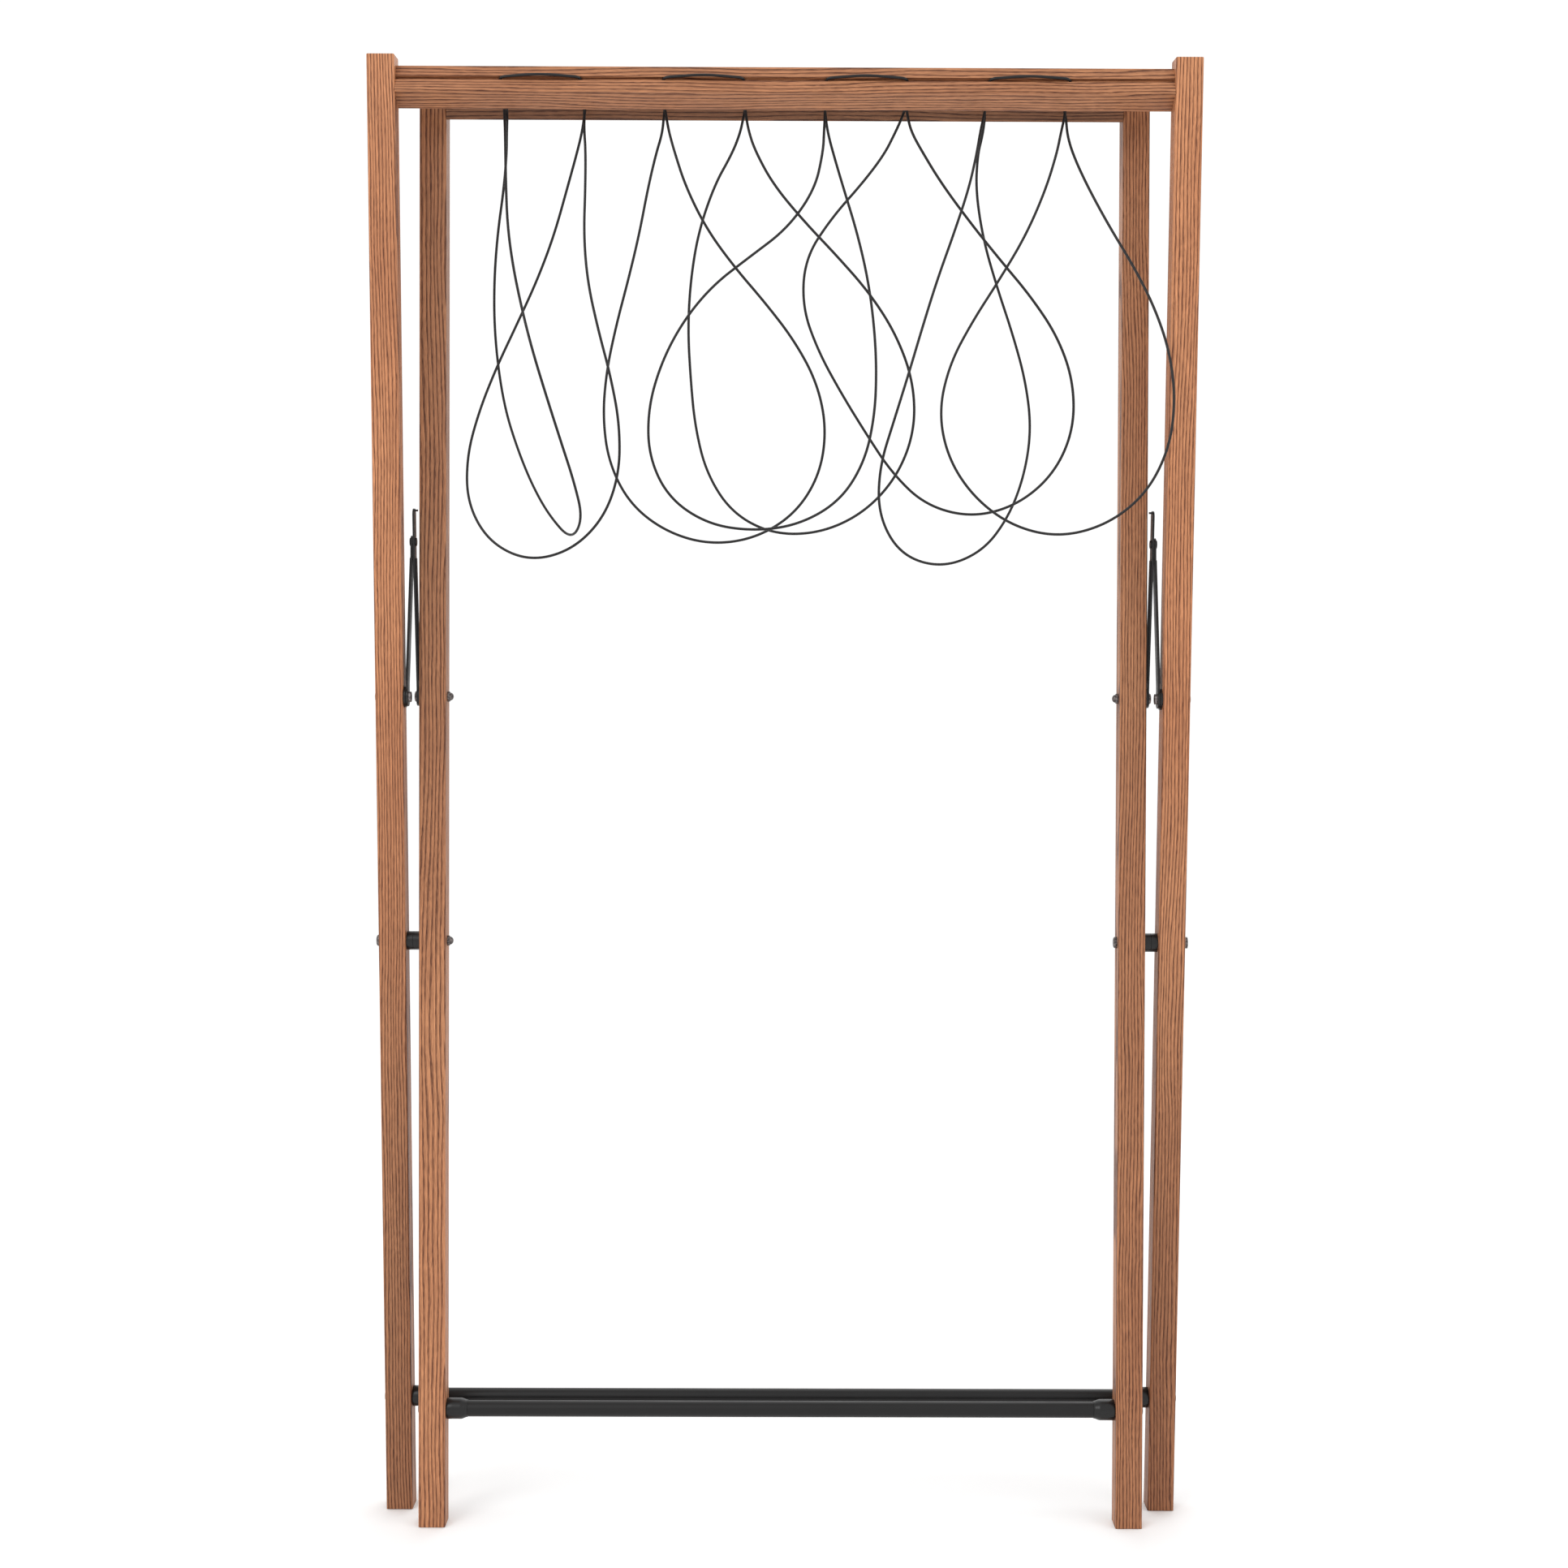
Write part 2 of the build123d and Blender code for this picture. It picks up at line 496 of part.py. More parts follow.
RUNNING_BORE = BOLT + 2 * RUNNING_CLEARANCE
FIXED_BORE = BOLT + 2 * BORE_CLEARANCE
NUT_BORE = BOLT + 2 * NUT_CLEARANCE
spacer_split = (INNER_FACE + OUTER_INSIDE) / 2
spacer_start = spacer_split + FACE_CLEARANCE / 2
spacer_end = spacer_split - FACE_CLEARANCE / 2
pad_start = OUTER_INSIDE - OUTER_PAD
pad_end = INNER_FACE + INNER_PAD
nut_end = PIN_WEB[OUTER] - PAD_GAP
nut_start = nut_end - STAY_HEAD_HEIGHT
for side, side_name in SIDES.items():
    pivot = across(FRAMES[INNER], 0, 0, 0, side)
    inner_pin = across(FRAMES[INNER], 0, 0, STAY_ABOVE_PIVOT, side)
    outer_pin = across(FRAMES[OUTER], 0, 0, STAY_ABOVE_PIVOT, side)
    make_pivot_bolt(side, f"pivot_bolt_{side_name}")
    make_ring(pivot, INNER_FACE, spacer_end, SPACER, FIXED_BORE, f"pivot_spacer_inner_{side_name}")
    make_ring(pivot, spacer_start, OUTER_INSIDE, SPACER, RUNNING_BORE, f"pivot_spacer_outer_{side_name}")
    make_ring(inner_pin, INNER_FACE, pad_end, STAY_PAD, FIXED_BORE, f"inner_stay_pad_{side_name}")
    make_ring(outer_pin, pad_start, OUTER_INSIDE, STAY_PAD, FIXED_BORE, f"outer_stay_pad_{side_name}")
    make_ring(outer_pin, nut_start, nut_end, STAY_HEAD, NUT_BORE, f"outer_stay_nut_{side_name}")
    make_dome_nut(inside_face(side, STAY_ABOVE_PIVOT), f"inner_stay_nut_{side_name}")

make_dome_nut(inside_face(LEFT, 0), "pivot_nut_left")
plain_nut = across(FRAMES[INNER], OUTER_FACE + FACE_CLEARANCE, 0, 0, RIGHT)
make_ring(plain_nut, 0, CAP_HEIGHT, CAP, NUT_BORE, "pivot_nut_right")

for line in range(1, LINES + 1):
    make_line(line)
for line in range(1, LINES, 2):
    make_turn(OUTER, line, f"front_turn_{line}_{line + 1}")
for line in range(2, LINES, 2):
    make_turn(INNER, line, f"rear_turn_{line}_{line + 1}")
make_line_ends("line_ends")
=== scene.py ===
"""The looks of a folding clothes drying rack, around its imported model. Metres, +Z up, front towards -Y."""
import json
import math

import bpy
import numpy as np
from mathutils import Matrix, Vector


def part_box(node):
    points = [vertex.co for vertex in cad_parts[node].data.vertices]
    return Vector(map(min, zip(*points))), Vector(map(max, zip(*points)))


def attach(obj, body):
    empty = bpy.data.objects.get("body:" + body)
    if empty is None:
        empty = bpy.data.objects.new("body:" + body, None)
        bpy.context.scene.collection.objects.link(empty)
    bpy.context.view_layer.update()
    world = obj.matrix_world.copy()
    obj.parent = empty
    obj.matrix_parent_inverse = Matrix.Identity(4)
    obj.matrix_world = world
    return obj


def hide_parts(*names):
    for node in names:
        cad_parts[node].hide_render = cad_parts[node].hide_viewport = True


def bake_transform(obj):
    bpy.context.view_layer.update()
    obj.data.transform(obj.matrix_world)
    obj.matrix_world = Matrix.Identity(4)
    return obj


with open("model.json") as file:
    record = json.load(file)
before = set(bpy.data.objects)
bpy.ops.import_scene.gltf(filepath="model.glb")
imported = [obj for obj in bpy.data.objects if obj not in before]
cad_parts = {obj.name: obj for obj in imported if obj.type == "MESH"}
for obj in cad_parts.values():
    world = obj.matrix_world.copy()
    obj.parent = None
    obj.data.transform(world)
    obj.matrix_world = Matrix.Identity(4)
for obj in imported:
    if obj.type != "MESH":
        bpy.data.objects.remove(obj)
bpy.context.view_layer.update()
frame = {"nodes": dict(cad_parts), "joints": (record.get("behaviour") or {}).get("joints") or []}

# The legs: four square hardwood posts, planed, with softly rounded edges and sawn ends, finished with
# a reddish brown oil. They cross in pairs at the main pivots, so their grain leans with them.
LEAN = math.radians(2.4)
BOARD_LENGTH = 1.62
WOOD_LIGHT = (0.69, 0.305, 0.142)
WOOD_MIDDLE = (0.52, 0.208, 0.092)
WOOD_DARK = (0.085, 0.022, 0.009)
WOOD_SPECULAR = 0.3
PORE_DEPTH = 0.0002
GRAIN_SWAY = 0.026
GRAIN_RIPPLE = 0.0017
GROWTH_RINGS_PER_METRE = 285
RING_UNEVENNESS = 1.3
# How porous a growth ring is, as (share of its width from the inner edge, amount)
RING_POROSITY = [(0.0, 0.0), (0.1, 1.0), (0.3, 0.85), (0.5, 0.16), (1.0, 0.0)]
# Where a board's tone and painted shade start and stop changing, as shares of its length
TONE_AND_SHADE_FROM, TONE_AND_SHADE_TO = 0.2, 0.62


def new_material(name):
    """An empty node material with its shader, and a short way to add nodes with linked or set inputs."""
    made = bpy.data.materials.new(name)
    made.use_nodes = True
    tree = made.node_tree

    def add(kind, inputs=None, **settings):
        node = tree.nodes.new("ShaderNode" + kind)
        for key, value in settings.items():
            setattr(node, key, value)
        for key, value in (inputs or {}).items():
            if isinstance(value, bpy.types.NodeSocket):
                tree.links.new(value, node.inputs[key])
            else:
                node.inputs[key].default_value = value
        return node

    return made, tree.nodes["Principled BSDF"], add


def ramp(add, source, stops):
    """A colour ramp through (position, colour) stops; a single number stands for a grey."""
    node = add("ValToRGB", {"Fac": source})
    points = node.color_ramp.elements
    while len(points) < len(stops):
        points.new(0.5)
    for point, (position, colour) in zip(points, stops):
        point.position = position
        shade = (colour, colour, colour) if isinstance(colour, (int, float)) else colour
        point.color = (*shade, 1)
    return node.outputs["Color"]


def mixed(add, share, first, second, how="MIX"):
    """Two colours or greys mixed by a share."""
    node = add("Mix", data_type="RGBA", blend_type=how)
    for key, value in ((0, share), (6, first), (7, second)):
        if isinstance(value, bpy.types.NodeSocket):
            node.id_data.links.new(value, node.inputs[key])
        else:
            node.inputs[key].default_value = value if key == 0 else (*value, 1)
    return node.outputs[2]


def finish(add, shader, colour, roughness, relief, strength, depth):
    """Gives a shader its colour, its roughness and a fine relief of that depth."""
    bump = add("Bump", {"Height": relief, "Strength": strength, "Distance": depth})
    sources = {"Base Color": colour, "Roughness": roughness, "Normal": bump.outputs["Normal"]}
    for socket, source in sources.items():
        shader.id_data.links.new(source, shader.inputs[socket])


def grain_noise(add, place, across, along, detail):
    """Noise stretched along the grain, with that many features per metre across it and along it."""
    stretched = add("Mapping", {"Vector": place, "Scale": (across, across, along)}).outputs["Vector"]
    return add("TexNoise", {"Vector": stretched, "Scale": 1.0, "Detail": detail}).outputs


def swayed(add, place, noise, reach):
    """A place moved by (noise - 0.5) * reach along each axis, so that lines drawn on it sway."""
    centred = add("VectorMath", {0: noise["Color"], 1: (0.5, 0.5, 0.5)}, operation="SUBTRACT")
    shift = add("VectorMath", {0: centred.outputs[0], "Scale": reach}, operation="SCALE")
    return add("VectorMath", {0: place, 1: shift.outputs[0]}, operation="ADD").outputs[0]


def growth_rings(add, board, wavy):
    """How porous the wood is at a place: the distance from the pith on its swaying grain, times the
    rings per metre, plus a slow unevenness, gives the place within a ring, and so its porosity."""
    flat = add("VectorMath", {0: wavy, 1: (1, 1, 0)}, operation="MULTIPLY").outputs[0]
    radius = add("VectorMath", {0: flat}, operation="LENGTH").outputs["Value"]
    rings = add("Math", {0: radius, 1: GROWTH_RINGS_PER_METRE}, operation="MULTIPLY").outputs[0]
    slow = grain_noise(add, board, across=70, along=5, detail=2.0)["Fac"]
    uneven = add("Math", {0: slow, 1: RING_UNEVENNESS}, operation="MULTIPLY").outputs[0]
    phase = add("Math", {0: rings, 1: uneven}, operation="ADD").outputs[0]
    ring = add("Math", {0: phase}, operation="FRACT").outputs[0]
    return ramp(add, ring, RING_POROSITY)


def wood(name, turn, pith, tones_and_shade, seed):
    """Straight-grained open-pored hardwood. turn brings the grain onto the pattern's Z axis, and pith
    is where the tree's centre runs, so that the growth rings cross the piece as nearly parallel lines.
    Each ring goes from a dark porous band to pale late wood; pores are short dark streaks in that band.
    tones_and_shade are the board's brightness at its low end and at its high end, along its grain: partly
    its own tone, partly painted shade where the board stands back behind or under other parts."""
    made, shader, add = new_material(name)
    place = add("TexCoord").outputs["Object"]
    turned = add("Mapping", {"Vector": place, "Rotation": turn}).outputs["Vector"]
    board = add("Mapping", {"Vector": turned, "Location": (*pith, seed)}).outputs["Vector"]
    swaying = swayed(add, board, grain_noise(add, board, across=9, along=1.7, detail=3.0), GRAIN_SWAY)
    wavy = swayed(add, swaying, grain_noise(add, board, across=240, along=17, detail=2.0), GRAIN_RIPPLE)

    band = growth_rings(add, board, wavy)
    pore_noise = grain_noise(add, wavy, across=2500, along=75, detail=1.5)["Fac"]
    pores = ramp(add, pore_noise, [(0.44, 0.0), (0.56, 1.0)])
    pore_share = mixed(add, 0.72, pores, band, "MULTIPLY")
    fibre = grain_noise(add, wavy, across=1100, along=14, detail=3.0)["Fac"]
    fibre_grey = ramp(add, fibre, [(0.3, 0.0), (0.7, 1.0)])
    cloud = grain_noise(add, board, across=14, along=2.6, detail=2.0)["Fac"]

    pale = ramp(add, cloud, [(0.32, WOOD_MIDDLE), (0.68, WOOD_LIGHT)])
    streaked = mixed(add, 0.55, pale, ramp(add, fibre, [(0.3, 0.5), (0.7, 1.15)]), "MULTIPLY")
    banded = mixed(add, ramp(add, band, [(0.0, 0.0), (1.0, 0.7)]), streaked, WOOD_DARK)
    pored = mixed(add, ramp(add, pore_share, [(0.0, 0.0), (1.0, 0.95)]), banded, WOOD_DARK)
    # Painted shade: the colour is darkened along the board by the ramp of tones_and_shade, partly the wood's
    # own tone.
    along = add("SeparateXYZ", {0: turned}).outputs["Z"]
    share = add("Math", {0: along, 1: 1 / BOARD_LENGTH}, operation="MULTIPLY", use_clamp=True)
    tone = ramp(add, share.outputs[0], [(TONE_AND_SHADE_FROM, tones_and_shade[0]), (TONE_AND_SHADE_TO, tones_and_shade[1])])
    colour = mixed(add, 1.0, pored, tone, "MULTIPLY")

    roughness = ramp(add, mixed(add, 0.5, pore_share, fibre_grey), [(0.0, 0.42), (1.0, 0.68)])
    between_pores = mixed(add, 1.0, (1, 1, 1), pore_share, "SUBTRACT")
    relief = mixed(add, 0.35, between_pores, fibre_grey)
    finish(add, shader, colour, roughness, relief, strength=0.22, depth=PORE_DEPTH)
    shader.inputs["Specular IOR Level"].default_value = WOOD_SPECULAR
    return made


def coat(nodes, made):
    """Gives CAD nodes a material."""
    for node in nodes:
        mesh = frame["nodes"][node].data
        mesh.materials.clear()
        mesh.materials.append(made)


# Each leg's lean, pith, tones with painted shade (low end, high end) and seed. The outer legs are painted
# darker towards their feet, behind the inner legs, and the inner legs darker towards their tops, under the
# front rail: painted shade mixed with the boards' own tone.
LEGS = {
    "outer_leg_left": (LEAN, (0.487, -0.021), (0.67, 1.05), 3.1),
    "outer_leg_right": (LEAN, (-0.362, 0.008), (0.7, 1.08), 9.7),
    "inner_leg_left": (-LEAN, (0.452, -0.008), (0.96, 0.66), 5.3),
    "inner_leg_right": (-LEAN, (-0.327, 0.03), (0.79, 0.76), 14.2),
}
for leg, (lean, pith, tones_and_shade, seed) in LEGS.items():
    coat([leg], wood(f"{leg}_oiled_wood", (-lean, 0, 0), pith, tones_and_shade, seed))

# The top rails: square bars of the same wood, screwed between the legs and turned so that the grooved face
# looks up and out. Their grain runs across the rack. The rear one is painted much darker all over: painted
# shade where it sits under and behind the front rail.
RAIL_GRAIN = (0, math.pi / 2, 0)
# Each rail's pith, tones with painted shade (low end, high end) and seed
RAILS = {
    "front_rail": ((-1.66, 0.066), (0.8, 0.8), 21.4),
    # The rear rail's low tones are painted shade under the front rail.
    "rear_rail": ((-1.655, -0.05), (0.42, 0.42), 33.8),
}
for rail, (pith, tones_and_shade, seed) in RAILS.items():
    coat([rail], wood(f"{rail}_oiled_wood", RAIL_GRAIN, pith, tones_and_shade, seed))

# The crossbars: round steel tubes that brace the legs near their feet, pushed into sockets at both ends.
# Their black powder coat dries with a fine orange-peel skin.


def object_noise(add, per_metre, detail):
    """Even noise over a piece, with that many features per metre."""
    place = add("TexCoord").outputs["Object"]
    return add("TexNoise", {"Vector": place, "Scale": per_metre, "Detail": detail}).outputs["Fac"]


def black_finish(name, base, roughness, grain, depth, specular):
    """A near-black finish: a fine even relief of that grain size and depth, with slightly uneven gloss
    and tone about its base grey and its roughness."""
    made, shader, add = new_material(name)
    fine = object_noise(add, per_metre=1 / grain, detail=2.0)
    broad = object_noise(add, per_metre=26.0, detail=4.0)
    tone = ramp(add, broad, [(0.3, base * 0.8), (0.7, base * 1.3)])
    warm = mixed(add, 0.5, tone, (base * 1.05, base * 0.95, base))
    gloss = ramp(add, broad, [(0.3, roughness - 0.05), (0.7, roughness + 0.06)])
    finish(add, shader, warm, gloss, fine, strength=0.25, depth=depth)
    shader.inputs["Specular IOR Level"].default_value = specular
    return made


powder_coat = black_finish("black_powder_coat", base=0.006, roughness=0.38, grain=0.0009, depth=0.0002,
                           specular=0.3)
coat(["front_tube", "rear_tube"], powder_coat)

# The sockets, spacers and pads: moulded black plastic. A socket is a closed cup screwed to the leg, with
# a mouth that tapers onto the tube; spacers part the legs at the main pivots, and pads part the stays.
SIDES = ("left", "right")
MOULDED = ["front_tube_socket", "rear_tube_socket", "pivot_spacer_inner", "pivot_spacer_outer"]
MOULDED += ["inner_stay_pad", "outer_stay_pad"]
moulded_plastic = black_finish("black_moulded_plastic", base=0.0055, roughness=0.3, grain=0.0005,
                               depth=0.0001, specular=0.36)
coat([f"{piece}_{side}" for piece in MOULDED for side in SIDES], moulded_plastic)


def wrapped_faces(rows, columns, joined):
    """Four-sided faces over a grid of points that closes round its columns, and round its rows too if
    joined. Each runs from its point to the next column, then to the next row, then back."""
    row, column = np.meshgrid(np.arange(rows if joined else rows - 1), np.arange(columns), indexing="ij")
    next_row = (row + 1) % rows
    next_column = (column + 1) % columns
    corners = [row * columns + column, row * columns + next_column]
    corners += [next_row * columns + next_column, next_row * columns + column]
    return np.stack(corners, axis=-1).reshape(-1, 4)


def new_piece(name, points, faces, made):
    """A smooth-shaded piece at the origin, in its material."""
    mesh = bpy.data.meshes.new(name)
    mesh.from_pydata(points.reshape(-1, 3).tolist(), [], faces)
    mesh.polygons.foreach_set("use_smooth", np.ones(len(mesh.polygons), bool))
    mesh.materials.append(made)
    piece = bpy.data.objects.new(name, mesh)
    bpy.context.scene.collection.objects.link(piece)
    return piece


def turned_points(radius, height, base, way):
    """Points at (radius, height) about a line along X that starts at base and runs way along it. Radius
    and height are rows by columns; each column stands at its own angle round the line."""
    columns = radius.shape[1]
    angle = -way * np.linspace(0, 2 * math.pi, columns, endpoint=False)
    across = radius * np.cos(angle)
    up = radius * np.sin(angle)
    return np.stack([base[0] + way * height, base[1] + across, base[2] + up], axis=-1)


def seat_of(node):
    """The point on a node's line where it sits against its leg, and its way along X to the middle."""
    low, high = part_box(node)
    middle = (low + high) / 2
    outermost = low.x if middle.x < 0 else high.x
    return (outermost, middle.y, middle.z), (1 if middle.x < 0 else -1)


# A cup's wall as (radius, height) round its outline: outside from the leg to the mouth, where it
# tapers in an S onto the tube, then back down the bore to its floor and out through the screw hole.
CUP_SIDES = 96
CUP_CRISP_DEGREES = 35
CUP_RADIUS = 0.01165
BORE_RADIUS = 0.0091
SCREW_HOLE_RADIUS = 0.00325
CUP_FLOOR = 0.0040
CUP_MOUTH = 0.0240
TAPER_START = 0.0160
TAPER_LENGTH = 0.0078
TAPER_DEPTH = 0.0021
cup_outside = [(0.0108, 0.0), (0.01145, 0.0003)]
cup_outside += [(CUP_RADIUS, height) for height in (0.0010, 0.0080, 0.0150)]
taper = np.linspace(0, 1, 12)
taper_ease = taper**2 * (3 - 2 * taper)
cup_lip = np.stack([CUP_RADIUS - TAPER_DEPTH * taper_ease, TAPER_START + TAPER_LENGTH * taper], axis=1)
cup_inside = [(BORE_RADIUS, height) for height in (CUP_MOUTH, 0.0230, 0.0100, CUP_FLOOR)]
cup_inside += [(SCREW_HOLE_RADIUS, CUP_FLOOR), (SCREW_HOLE_RADIUS, 0.0)]
cup_outline = np.concatenate([cup_outside, cup_lip, cup_inside])
cup_radius, cup_height = np.repeat(cup_outline.T[:, :, None], CUP_SIDES, axis=2)
cup_faces = wrapped_faces(len(cup_outline), CUP_SIDES, joined=True).tolist()
for node in [f"{tube}_socket_{side}" for tube in ("front_tube", "rear_tube") for side in SIDES]:
    place, way = seat_of(node)
    cup_points = turned_points(cup_radius, cup_height, place, way)
    cup = new_piece(f"{node}_cup", cup_points, cup_faces, moulded_plastic)
    cup.data.set_sharp_from_angle(angle=math.radians(CUP_CRISP_DEGREES))
    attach(cup, "inner_frame" if node.startswith("front") else "outer_frame")
    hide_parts(node)

# The folding stays: two links of bent steel strip on each side, enamelled black, that fold together to
# a riveted elbow between the legs.
STAY_PARTS = ("inner_stay_link", "inner_stay_rivet", "outer_stay_link", "outer_stay_rivet")
enamel = black_finish("black_enamelled_strip", base=0.007, roughness=0.32, grain=0.0016, depth=0.0001,
                      specular=0.36)
coat([f"{piece}_{side}" for piece in STAY_PARTS for side in SIDES], enamel)

# Bolts, screws and nuts: blackened steel. They hold the rails, sockets, pivots and stays to the legs.
# The inner stay bolts and the outer stay nuts are worn brighter than the rest.


def blackened_steel(name, dark, rubbed):
    """Dark oxide over steel: brown-black, metallic, with paler spots where it has rubbed."""
    made, shader, add = new_material(name)
    spots = object_noise(add, per_metre=420.0, detail=3.0)
    colour = ramp(add, spots, [(0.4, dark), (0.75, rubbed)])
    roughness = ramp(add, spots, [(0.3, 0.3), (0.7, 0.46)])
    finish(add, shader, colour, roughness, spots, strength=0.2, depth=0.0001)
    shader.inputs["Metallic"].default_value = 0.85
    return made


FASTENERS = [node for node in frame["nodes"] if "screws" in node or "bolt" in node or "nut" in node]
oxide = blackened_steel("blackened_steel", dark=(0.05, 0.042, 0.042), rubbed=(0.26, 0.23, 0.22))
rubbed_steel = blackened_steel("rubbed_steel", dark=(0.16, 0.14, 0.14), rubbed=(0.46, 0.42, 0.41))
coat(FASTENERS, oxide)
coat([f"{piece}_{side}" for piece in ("inner_stay_bolt", "outer_stay_nut") for side in SIDES], rubbed_steel)

# The dome nuts: turned and blackened steel, on the bolts where they come through the inner legs. Each is
# a hexagon 10 mm across its flats, chamfered at both ends, under a round cap.
NUT_SIDES = 96
NUT_CRISP_DEGREES = 28
HEX_INRADIUS = 0.005
HEX_HEIGHT = 0.0031
DOME_RADIUS = 0.0045
DOME_RISE = 0.0038
DOME_TOP = math.radians(88)
HEX_CORNER = 0.0057
# The hexagon's rows, as (share of its width, furthest reach of its corners, height)
HEX_ROWS = [(0.97, HEX_CORNER, 0.0), (1.0, HEX_CORNER, 0.0002), (1.0, HEX_CORNER, HEX_HEIGHT - 0.0006)]
HEX_ROWS += [(0.985, 0.0054, HEX_HEIGHT - 0.0003), (0.93, 0.00485, HEX_HEIGHT)]
nut_angle = np.linspace(0, 2 * math.pi, NUT_SIDES, endpoint=False)
hexagon = HEX_INRADIUS / np.cos((nut_angle + math.pi / 6) % (math.pi / 3) - math.pi / 6)
hex_share, hex_reach, hex_height = np.repeat(np.transpose(HEX_ROWS)[:, :, None], NUT_SIDES, axis=2)
rise = np.linspace(0, DOME_TOP, 14)[:, None] * np.ones(NUT_SIDES)
nut_radius = np.concatenate([np.minimum(hexagon * hex_share, hex_reach), DOME_RADIUS * np.cos(rise)])
nut_height = np.concatenate([hex_height, HEX_HEIGHT + DOME_RISE * np.sin(rise)])
nut_top = (len(nut_radius) - 1) * NUT_SIDES
nut_faces = wrapped_faces(len(nut_radius), NUT_SIDES, joined=False).tolist()
nut_faces += [list(range(NUT_SIDES))[::-1], list(range(nut_top, nut_top + NUT_SIDES))]
for node in ("pivot_nut_left", "inner_stay_nut_left", "inner_stay_nut_right"):
    place, way = seat_of(node)
    nut_points = turned_points(nut_radius, nut_height, place, way)
    nut = new_piece(f"{node}_dome", nut_points, nut_faces, oxide)
    nut.data.set_sharp_from_angle(angle=math.radians(NUT_CRISP_DEGREES))
    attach(nut, "inner_frame")
    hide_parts(node)

# The cord: one smooth black coated line, 3 mm thick, laced through eight holes in each rail. Eight
# slack lines hang between the rails as loops, and short turns run along the rails' grooves.
CORD = 0.003
LINES = 8
LINE_PITCH = 0.0884
RING_SIDES = 14
RING_STEP = 0.0016
SPLINE_RESOLUTION = 24
RAIL_TILT = math.radians(26.4)
RAIL_ALONG_LEG = 0.9385
RAIL_INSET = 0.006
PIVOT_HEIGHT = frame["joints"][0]["pos_m"][2]
OUTER, INNER = 1, -1


def cord_coating():
    """The cord's smooth black coating, with fine streaks along it in tone, gloss and relief."""
    made, shader, add = new_material("black_coated_cord")
    along_cord = add("UVMap", uv_map="along_cord").outputs["UV"]
    stretched = add("Mapping", {"Vector": along_cord, "Scale": (2.2, 9.0, 1.0)}).outputs["Vector"]
    streaks = add("TexNoise", {"Vector": stretched, "Scale": 1.0, "Detail": 3.0}).outputs["Fac"]
    tone = ramp(add, streaks, [(0.35, (0.005, 0.0045, 0.005)), (0.7, (0.011, 0.01, 0.0105))])
    roughness = ramp(add, streaks, [(0.3, 0.3), (0.7, 0.44)])
    finish(add, shader, tone, roughness, streaks, strength=0.18, depth=0.00008)
    shader.inputs["Specular IOR Level"].default_value = 0.32
    return made


def hole_x(line):
    """How far right of the middle a line's holes are; lines are counted from 1 at the left."""
    return (line - (LINES + 1) / 2) * LINE_PITCH


def rail_point(way, x, out, up):
    """A point by a rail: x from the middle, out from its centre towards its grooved face, and up along
    that face. way is OUTER for the front rail and INNER for the rear one."""
    lean_sin, lean_cos = math.sin(LEAN), math.cos(LEAN)
    tilt_sin, tilt_cos = math.sin(RAIL_TILT), math.cos(RAIL_TILT)
    across = RAIL_INSET - out * tilt_cos + up * tilt_sin
    along = RAIL_ALONG_LEG + out * tilt_sin + up * tilt_cos
    y = way * (across * lean_cos - along * lean_sin)
    return (x, y, PIVOT_HEIGHT + across * lean_sin + along * lean_cos)


def smooth_line(route, step=RING_STEP):
    """The route's smooth curve, a spline with the route's points as its control points, read back and
    spaced evenly along its length."""
    curve = bpy.data.curves.new("route", "CURVE")
    curve.dimensions = "3D"
    spline = curve.splines.new("NURBS")
    spline.points.add(len(route) - 1)
    spline.points.foreach_set("co", np.c_[np.array(route), np.ones(len(route))].ravel())
    spline.order_u = 3
    spline.use_endpoint_u = True
    curve.resolution_u = SPLINE_RESOLUTION
    holder = bpy.data.objects.new("route", curve)
    mesh = bpy.data.meshes.new_from_object(holder)
    points = np.zeros(len(mesh.vertices) * 3)
    mesh.vertices.foreach_get("co", points)
    points = points.reshape(-1, 3)
    bpy.data.meshes.remove(mesh)
    bpy.data.objects.remove(holder)
    bpy.data.curves.remove(curve)
    run = np.r_[0, np.cumsum(np.linalg.norm(np.diff(points, axis=0), axis=1))]
    even = np.linspace(0, run[-1], int(run[-1] / step) + 2)
    return np.stack([np.interp(even, run, points[:, axis]) for axis in range(3)], axis=1)


def cord_rings(line, closed=False):
    """Rings of points round a line: ring i is centre + radius * (cos a * side + sin a * other), where
    side is square to the line and to the normal of the plane that the line lies nearest to."""
    if closed:
        ahead = np.roll(line, -1, axis=0) - np.roll(line, 1, axis=0)
    else:
        ahead = np.gradient(line, axis=0)
    ahead = ahead / np.linalg.norm(ahead, axis=1)[:, None]
    normal = np.linalg.svd(line - line.mean(axis=0), full_matrices=True)[2][2]
    side = np.cross(ahead, normal)
    side = side / np.linalg.norm(side, axis=1)[:, None]
    other = np.cross(ahead, side)
    angle = np.linspace(0, 2 * math.pi, RING_SIDES, endpoint=False)
    circle = np.cos(angle)[:, None] * side[:, None] + np.sin(angle)[:, None] * other[:, None]
    return line[:, None] + CORD / 2 * circle


